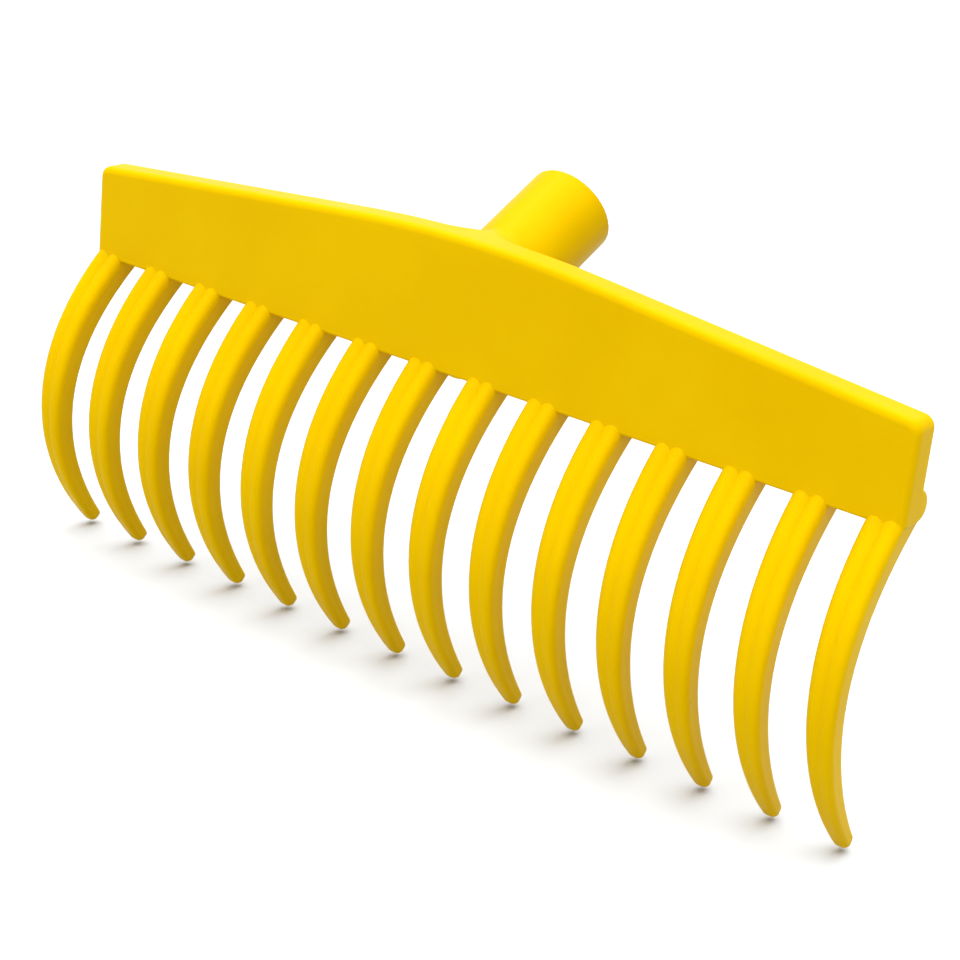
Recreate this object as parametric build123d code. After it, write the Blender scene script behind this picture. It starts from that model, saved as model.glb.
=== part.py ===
from build123d import *
import os
from math import cos, pi, radians, sin, tan

# Olive harvesting rake head, moulded in one piece: a flat cross plate, a comb of
# curved teeth under it and a slanted socket for a pole behind it.
# The plate stands upright with its length along X, its smooth face towards -Y and
# +Z up. Everything is laid out from the middle of the plate's lower front edge, and
# the finished piece is then moved so that the origin lies on the socket's axis, at
# the seat where the pole's end stops.

# Cross plate
plate_length = 301.0
plate_thickness = 8.5
plate_end_height = 29.9
plate_top_slope = 5.45          # degrees, each half of the top edge rises to the middle
plate_crown_radius = 460.0      # the top edge rounds over in the middle
plate_corner_radius = 3.5       # upper corners, seen from the front
plate_front_radius = 2.4        # front edges at the top and at both ends
plate_bottom_radius = 0.9
gate_stub_radius = 10.0         # low swelling under the middle, where the mould was filled
gate_stub_drop = 0.8
gate_stub_depth = 5.0

# Teeth
tooth_count = 14
tooth_end_inset = 5.8           # from each end of the plate to the outermost tooth's middle
tooth_front_width = 11.6
tooth_back_width = 9.9          # narrower than the front, so that the tooth leaves its mould
tooth_depth = 9.4
tip_front_width = 4.8
tip_back_width = 3.9
tip_depth = 4.6
tip_drop = 94.5                 # the tip's middle, below the plate's lower edge
tip_setback = 2.8               # the same, behind the plate's front face
head_rise = 4.3                 # middle of the round upper end, above the lower edge
head_setback = 9.6              # the same, behind the front face
root_angle = 39.0               # degrees below level, where the tooth sets out forwards
tip_angle = 48.5                # degrees below level, where it runs back to the tip
root_reach = 47.0               # how strongly each end's direction carries into the bow
tip_reach = 44.5
width_taper_power = 1.5         # the width falls away evenly, the depth mostly at the tip
depth_taper_power = 3.0
outer_tooth_splay = 2.5         # degrees, the outermost teeth lean outwards by this much
groove_depth = 1.0              # valley between the two rounded lobes of the front
lobe_fall = 1.1                 # from the lobes' crests down to the front corners
groove_fade_power = 2.0         # the valley fades out, mostly near the tip
front_corner_radius = 3.0
back_corner_radius = 1.3
tip_corner_radius = 1.5
head_rim_radius = 1.0
tip_round_length = 3.4
tip_round_turn = 84.0           # degrees, how far the rounding is carried round the tip
tip_round_lean = 0.4            # the tip rounds over more from the front than from the back

# Pole socket
pole_diameter = 24.0
pole_clearance = 0.15           # in radius
socket_wall = 2.35
socket_tilt = 27.0              # degrees above level
socket_axis_height = 16.6       # where the axis meets the plate's front face
socket_reach = 58.9             # along the axis, from the plate's front face to the mouth
socket_flare_radius = 7.0       # hollow rounding between the socket and the plate
flare_overlap = 0.02            # the socket is this much proud of its rounding, in radius
socket_rim_radius = 0.8
bore_lead_in = 0.8

# Slices that a tooth and its tip are drawn through
tooth_sections = 9
tip_sections = 6

# Worked out from the sizes above
half_length = plate_length / 2
roof_height = plate_end_height + half_length * tan(radians(plate_top_slope))
tooth_pitch = (plate_length - 2 * tooth_end_inset) / (tooth_count - 1)
bore_radius = pole_diameter / 2 + pole_clearance
socket_radius = bore_radius + socket_wall
tilt = radians(socket_tilt)
# The bore stops where its floor's nearest edge reaches the plate's back face.
seat_reach = (plate_thickness + bore_radius * sin(tilt)) / cos(tilt)
bore_depth = socket_reach - seat_reach


def front_outline():
    """The plate seen from the front: level below, a low roof with a rounded crown above."""
    corners = Polyline(
        (-half_length, 0),
        (-half_length, plate_end_height),
        (0, roof_height),
        (half_length, plate_end_height),
        (half_length, 0),
        close=True,
    )
    face = make_face(corners)
    ridge = face.vertices().sort_by(Axis.Y)[-1]
    face = fillet(ridge, plate_crown_radius)
    upper_corners = face.vertices().filter_by_position(Axis.Y, plate_end_height / 2, roof_height)
    upper_corners = upper_corners.sort_by(Axis.X)
    return fillet([upper_corners[0], upper_corners[-1]], plate_corner_radius)


def front_prism(depth):
    """The front outline carried straight back from the front face."""
    return extrude(Plane.XZ * front_outline(), amount=-depth)


def plate():
    body = front_prism(plate_thickness)
    front = body.edges().group_by(Axis.Y)[0].sort_by(Axis.Z)
    body = fillet(front[1:], plate_front_radius)
    lower = body.edges().group_by(Axis.Z)[0].sort_by(Axis.Y)
    body = fillet(lower[:-1], plate_bottom_radius)
    stub = Cylinder(gate_stub_radius, gate_stub_depth, rotation=(90, 0, 0))
    return body + Pos(0, plate_thickness / 2, gate_stub_radius - gate_stub_drop) * stub


def on_socket_axis(reach):
    """The plane square to the socket's axis, at a distance from the plate's front face."""
    origin = (0, reach * cos(tilt), socket_axis_height + reach * sin(tilt))
    return Plane(origin=origin, x_dir=(1, 0, 0), z_dir=(0, cos(tilt), sin(tilt)))


def socket_rod(radius, start, end):
    base = on_socket_axis(start) * Circle(radius)
    return extrude(base, amount=end - start)


def socket():
    """The socket's outside with its hollow rounding, trimmed level with the plate's top."""
    outer = socket_rod(socket_radius, 0, socket_reach)
    mouth_edge = outer.edges().sort_by(Axis.Y)[-1]
    outer = fillet(mouth_edge, socket_rim_radius)
    inner = socket_rod(socket_radius - flare_overlap, -socket_reach, socket_reach)
    # The rounding is drawn on a block wide enough for it, in the back half of the plate.
    half = plate_thickness / 2
    width = 2 * (socket_radius + 3 * socket_flare_radius)
    backing = Pos(0, plate_thickness - half / 2, socket_axis_height) * Box(width, half, 2 * width)
    behind = Pos(0, half + socket_reach, 0) * Box(width, 2 * socket_reach, 4 * width)
    flared = backing + (inner & behind)
    root = flared.edges().filter_by(GeomType.ELLIPSE)
    root = [edge for edge in root if abs(edge.center().Y - plate_thickness) < flare_overlap]
    flared = fillet(root, socket_flare_radius)
    flare_end = plate_thickness + socket_flare_radius / tan((pi / 2 - tilt) / 2) * cos(tilt)
    return (flared & front_prism(flare_end)) + (outer & behind)


def pole_space():
    """The blind bore, with a short lead-in at its mouth."""
    space = socket_rod(bore_radius, seat_reach, socket_reach)
    lead_in = loft([
        on_socket_axis(socket_reach - bore_lead_in) * Circle(bore_radius),
        on_socket_axis(socket_reach) * Circle(bore_radius + bore_lead_in),
    ])
    return space + lead_in


def tooth_line():
    """The middle of a tooth from its round upper end to its tip, bowing forwards."""
    head = Vector(0, head_setback, head_rise)
    tip = Vector(0, tip_setback, -tip_drop)
    set_out = Vector(0, -cos(radians(root_angle)), -sin(radians(root_angle)))
    run_in = Vector(0, cos(radians(tip_angle)), -sin(radians(tip_angle)))
    return Bezier(head, head + set_out * root_reach, tip - run_in * tip_reach, tip)


def tooth_section(line, along, shrink=1.0, beyond=0.0):
    """A slice square to the tooth's line, `along` from 0 at the head to 1 at the tip.

    The front has two rounded lobes with a valley between them. The valley fades out on
    the way down, and the sides draw in towards the plain back."""
    narrowing = along**width_taper_power
    thinning = along**depth_taper_power
    front = (tooth_front_width + (tip_front_width - tooth_front_width) * narrowing) / 2 * shrink
    back = (tooth_back_width + (tip_back_width - tooth_back_width) * narrowing) / 2 * shrink
    full_depth = tooth_depth + (tip_depth - tooth_depth) * thinning
    depth = full_depth * shrink
    scale = front / (tooth_front_width / 2)
    crest = depth / 2
    corner = crest - lobe_fall * scale
    valley = crest - groove_depth * (1 - along**groove_fade_power) * scale
    # Where the valley has gone, the front is one even arch, a quarter down at half its width.
    lobe = crest - lobe_fall / 4 * along * scale
    right_lobe = ThreePointArc((0, valley), (front / 2, lobe), (front, corner))
    right_side = Line((front, corner), (back, -crest))
    rear = Line((back, -crest), (-back, -crest))
    left_side = Line((-back, -crest), (-front, corner))
    left_lobe = ThreePointArc((-front, corner), (-front / 2, lobe), (0, valley))
    face = make_face([right_lobe, right_side, rear, left_side, left_lobe])
    rear_corners = face.vertices().group_by(Axis.Y)[0]
    back_radius = back_corner_radius + (tip_corner_radius - back_corner_radius) * along
    front_radius = front_corner_radius + (tip_corner_radius - front_corner_radius) * along
    face = fillet(rear_corners, back_radius * shrink)
    outermost = [face.vertices().sort_by(Axis.X)[0], face.vertices().sort_by(Axis.X)[-1]]
    face = fillet(outermost, front_radius * shrink)
    slice_plane = Plane(origin=line @ along, x_dir=(1, 0, 0), z_dir=line % along)
    return slice_plane * Pos(0, (depth - full_depth) * tip_round_lean, beyond) * face


def tooth():
    line = tooth_line()
    shank_end = 1 - tip_round_length / line.length
    steps = [shank_end * i / (tooth_sections - 1) for i in range(tooth_sections)]
    shank = loft([tooth_section(line, along) for along in steps])
    turns = [radians(tip_round_turn) * i / (tip_sections - 1) for i in range(tip_sections)]
    nose = loft(
        [tooth_section(line, shank_end, cos(turn), tip_round_length * sin(turn)) for turn in turns]
    )
    head_width = (tooth_front_width + tooth_back_width) / 2
    head = Plane(origin=line @ 0, z_dir=(1, 0, 0)) * Cylinder(tooth_depth / 2, head_width)
    head = fillet(head.edges().filter_by(GeomType.CIRCLE), head_rim_radius)
    return shank + nose + head


def comb():
    """All teeth, each a copy leaning outwards in step with its distance from the middle."""
    pattern = tooth()
    outermost = (tooth_count - 1) / 2
    teeth = []
    for i in range(tooth_count):
        place = i - outermost
        lean = -outer_tooth_splay * place / outermost
        teeth.append(Pos(place * tooth_pitch, 0, 0) * Rot(0, lean, 0) * pattern)
    return teeth


def rake_head():
    body = plate() + socket() - pole_space()
    for single in comb():
        body = body + single
    seat = on_socket_axis(seat_reach).origin
    return Pos(-seat.X, -seat.Y, -seat.Z) * body


os.makedirs("parts", exist_ok=True)
piece = rake_head()
piece.label = "rake_head"
export_step(piece, "parts/rake_head.step")
print("bore depth", round(bore_depth, 2), "tooth pitch", round(tooth_pitch, 3))
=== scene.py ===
import bpy
from math import cos, radians, sin
from mathutils import Matrix, Vector


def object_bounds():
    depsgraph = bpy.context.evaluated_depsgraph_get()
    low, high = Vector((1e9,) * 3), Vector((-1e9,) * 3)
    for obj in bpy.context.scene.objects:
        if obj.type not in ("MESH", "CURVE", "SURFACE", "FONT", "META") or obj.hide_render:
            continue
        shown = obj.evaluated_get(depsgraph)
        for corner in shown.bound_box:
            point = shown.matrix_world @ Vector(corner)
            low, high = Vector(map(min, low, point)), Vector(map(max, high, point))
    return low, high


# An olive harvesting rake head, moulded in one piece from yellow polypropylene, on a
# white studio floor. Lengths are in metres, in the part's own frame.

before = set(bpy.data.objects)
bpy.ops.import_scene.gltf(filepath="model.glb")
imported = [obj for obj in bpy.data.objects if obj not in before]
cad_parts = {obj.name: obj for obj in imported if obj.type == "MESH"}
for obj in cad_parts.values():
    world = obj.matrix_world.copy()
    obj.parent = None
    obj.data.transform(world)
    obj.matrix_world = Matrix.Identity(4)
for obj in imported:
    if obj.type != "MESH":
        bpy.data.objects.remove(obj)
cad_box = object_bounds()

MM = 0.001

# Camera: a long lens from the front right and a little above, tipped clockwise
CAMERA_PLACE = (0.3878, -0.5317, 0.1940)
CAMERA_AZIMUTH = 35.79
CAMERA_DOWN_TILT = 21.08
CAMERA_ROLL = 5.95
LENS = 86.7
SENSOR = 36.0

# Light, and a white sheet that the tips of the teeth just clear. Its colour is a mid grey
# to the light that it throws back onto the part, so that undersides stay darker.
SKY_COLOUR = "E6F0FF"
SKY_LEVEL = 0.15
OVERHEAD_LEVEL = 5.1
OVERHEAD_SPREAD = 84.0
FRONT_PLACE = (-0.5, -1.3, 0.25)
FRONT_POWER = 6.0
SIDE_PLACE = (1.1, -0.8, 0.4)
SIDE_POWER = 4.5
SOFTBOX_SIZE = (0.8, 0.6)
FLOOR_SIZE = 6.0
FLOOR_GAP = 1.5 * MM
FLOOR_COLOUR = "B4B4B4"
FLOOR_SEEN = "DADDE0"
PAPER_ROUGHNESS = 0.9
PAPER_SHEEN = 0.1

# Polypropylene: sRGB colours, pattern sizes in mm, the glow under its skin as a length
PIGMENT = "DFB600"
PIGMENT_DEEP = "DBB000"
PIGMENT_PATCH = 35.0
SHEEN_TINT = "FFE060"
SHEEN_LEVEL = 0.03
REFRACTIVE_INDEX = 1.49
GLOSSY_ROUGHNESS = 0.27
HANDLED_ROUGHNESS = 0.37
HANDLED_PATCH = 12.0
HANDLED_DETAIL = 4.0
PEEL_PATCH = 2.0
PEEL_HEIGHT = 0.02 * MM
PEEL_STRENGTH = 0.25
GLOW_SHARE = 0.12
GLOW_BY_COLOUR = (1.0, 0.7, 0.15)
GLOW_DEPTH = 1.5 * MM


def linear(code):
    """An sRGB hex colour as linear red, green, blue and alpha."""
    channels = [int(code[i:i + 2], 16) / 255 for i in (0, 2, 4)]
    return [c / 12.92 if c <= 0.04045 else ((c + 0.055) / 1.055) ** 2.4 for c in channels] + [1.0]


def add_node(tree, kind, inputs=None, **settings):
    """Adds a node. Each input is a plain value, or a link where it is an output socket."""
    node = tree.nodes.new(kind)
    for name, value in settings.items():
        setattr(node, name, value)
    for name, value in (inputs or {}).items():
        if isinstance(value, bpy.types.NodeSocket):
            tree.links.new(value, node.inputs[name])
        else:
            node.inputs[name].default_value = value
    return node


def new_material(name):
    material = bpy.data.materials.new(name)
    material.use_nodes = True
    material.node_tree.nodes.clear()
    return material, material.node_tree


def millimetres(tree):
    """The part's own coordinates in millimetres, so that a scale of 1/n gives a pattern of n mm."""
    place = add_node(tree, "ShaderNodeTexCoord")
    scaled = add_node(
        tree, "ShaderNodeVectorMath", {0: place.outputs["Object"], "Scale": 1 / MM}, operation="SCALE"
    )
    return scaled.outputs[0]


def clouds(tree, where, size_mm, detail=2.0):
    """Soft noise whose patches are about size_mm across."""
    noise = add_node(
        tree, "ShaderNodeTexNoise", {"Vector": where, "Scale": 1 / size_mm, "Detail": detail}
    )
    return noise.outputs["Fac"]


def mix_colours(tree, share, first, second):
    """The first colour where share is 0 and the second where it is 1."""
    node = add_node(
        tree, "ShaderNodeMix", {"Factor": share, "A": first, "B": second}, data_type="RGBA"
    )
    return [socket for socket in node.outputs if socket.type == "RGBA"][0]


def spread(tree, value, low, high):
    """Noise runs mostly from 0.3 to 0.7: this spreads that stretch over low to high."""
    node = add_node(
        tree,
        "ShaderNodeMapRange",
        {"Value": value, "From Min": 0.3, "From Max": 0.7, "To Min": low, "To Max": high},
    )
    return node.outputs[0]


def moulded_polypropylene():
    """Injection-moulded polypropylene, coloured through with an opaque yellow pigment.

    The pigment is spread a little unevenly. The skin copies a polished mould with a faint
    orange peel of about 2 mm, and handling leaves soft patches of lower gloss. A little
    light goes in and comes out again, which softens edges."""
    material, tree = new_material("moulded_yellow_polypropylene")
    where = millimetres(tree)
    patches = spread(tree, clouds(tree, where, PIGMENT_PATCH), 0.0, 1.0)
    colour = mix_colours(tree, patches, linear(PIGMENT), linear(PIGMENT_DEEP))
    handled = clouds(tree, where, HANDLED_PATCH, HANDLED_DETAIL)
    peel = clouds(tree, where, PEEL_PATCH)
    bump = add_node(
        tree, "ShaderNodeBump", {"Strength": PEEL_STRENGTH, "Distance": PEEL_HEIGHT, "Height": peel}
    )
    shader = add_node(
        tree,
        "ShaderNodeBsdfPrincipled",
        {
            "Base Color": colour,
            "Roughness": spread(tree, handled, GLOSSY_ROUGHNESS, HANDLED_ROUGHNESS),
            "IOR": REFRACTIVE_INDEX,
            "Specular IOR Level": SHEEN_LEVEL,
            "Specular Tint": linear(SHEEN_TINT),
            "Subsurface Weight": GLOW_SHARE,
            "Subsurface Radius": GLOW_BY_COLOUR,
            "Subsurface Scale": GLOW_DEPTH,
            "Normal": bump.outputs["Normal"],
        },
    )
    add_node(tree, "ShaderNodeOutputMaterial", {"Surface": shader.outputs["BSDF"]})
    return material


def background_rays(tree):
    """1 for the rays that show the background: the camera's own, mirrored and refracted ones."""
    path = add_node(tree, "ShaderNodeLightPath")
    shown = path.outputs["Is Camera Ray"]
    for name in ("Is Glossy Ray", "Is Transmission Ray"):
        either = add_node(
            tree, "ShaderNodeMath", {0: shown, 1: path.outputs[name]}, operation="MAXIMUM"
        )
        shown = either.outputs[0]
    return shown


def studio_floor():
    """A matt sheet of white paper that keeps the part's soft shadow."""
    material, tree = new_material("matt_white_paper")
    colour = mix_colours(tree, background_rays(tree), linear(FLOOR_COLOUR), linear(FLOOR_SEEN))
    shader = add_node(
        tree,
        "ShaderNodeBsdfPrincipled",
        {"Base Color": colour, "Roughness": PAPER_ROUGHNESS, "Specular IOR Level": PAPER_SHEEN},
    )
    add_node(tree, "ShaderNodeOutputMaterial", {"Surface": shader.outputs["BSDF"]})
    return material


def lay_floor(height):
    half = FLOOR_SIZE / 2
    mesh = bpy.data.meshes.new("floor")
    corners = [(-half, -half, height), (half, -half, height), (half, half, height), (-half, half, height)]
    mesh.from_pydata(corners, [], [(0, 1, 2, 3)])
    mesh.materials.append(studio_floor())
    floor = bpy.data.objects.new("floor", mesh)
    bpy.context.scene.collection.objects.link(floor)


def add_camera():
    azimuth, tilt, roll = radians(CAMERA_AZIMUTH), radians(CAMERA_DOWN_TILT), radians(CAMERA_ROLL)
    level_right = Vector((cos(azimuth), sin(azimuth), 0))
    forward = Vector((-sin(azimuth) * cos(tilt), cos(azimuth) * cos(tilt), -sin(tilt)))
    level_up = level_right.cross(forward)
    right = level_right * cos(roll) + level_up * sin(roll)
    up = level_up * cos(roll) - level_right * sin(roll)
    turn = Matrix((right, up, -forward)).transposed().to_4x4()
    data = bpy.data.cameras.new("camera")
    data.lens = LENS
    data.sensor_width = SENSOR
    camera = bpy.data.objects.new("camera", data)
    camera.matrix_world = Matrix.Translation(CAMERA_PLACE) @ turn
    bpy.context.scene.collection.objects.link(camera)
    bpy.context.scene.camera = camera


def add_overhead_light():
    """A very wide soft light straight above, even over the whole floor."""
    data = bpy.data.lights.new("overhead", "SUN")
    data.energy = OVERHEAD_LEVEL
    data.angle = radians(OVERHEAD_SPREAD)
    lamp = bpy.data.objects.new("overhead", data)
    bpy.context.scene.collection.objects.link(lamp)


def add_softbox(name, place, power):
    """A soft lamp that faces the part."""
    data = bpy.data.lights.new(name, "AREA")
    data.shape = "RECTANGLE"
    data.size, data.size_y = SOFTBOX_SIZE
    data.energy = power
    lamp = bpy.data.objects.new(name, data)
    lamp.location = place
    lamp.rotation_euler = Vector(place).to_track_quat("Z", "Y").to_euler()
    bpy.context.scene.collection.objects.link(lamp)


def add_sky():
    """Weak light from all round, plain white where it is seen or reflected."""
    world = bpy.data.worlds.new("studio")
    bpy.context.scene.world = world
    world.use_nodes = True
    tree = world.node_tree
    tree.nodes.clear()
    seen = background_rays(tree)
    level = add_node(tree, "ShaderNodeMapRange", {"Value": seen, "To Min": SKY_LEVEL, "To Max": 1.0})
    tone = mix_colours(tree, seen, linear(SKY_COLOUR), linear("FFFFFF"))
    glow = add_node(
        tree, "ShaderNodeBackground", {"Color": tone, "Strength": level.outputs[0]}
    )
    add_node(tree, "ShaderNodeOutputWorld", {"Surface": glow.outputs[0]})


def finish_rake_head(material):
    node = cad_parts["rake_head"]
    node.data.materials.clear()
    node.data.materials.append(material)


add_camera()
bpy.context.scene.view_settings.view_transform = "Standard"
add_sky()
add_overhead_light()
add_softbox("front", FRONT_PLACE, FRONT_POWER)
add_softbox("side", SIDE_PLACE, SIDE_POWER)
lay_floor(cad_box[0].z - FLOOR_GAP)
finish_rake_head(moulded_polypropylene())
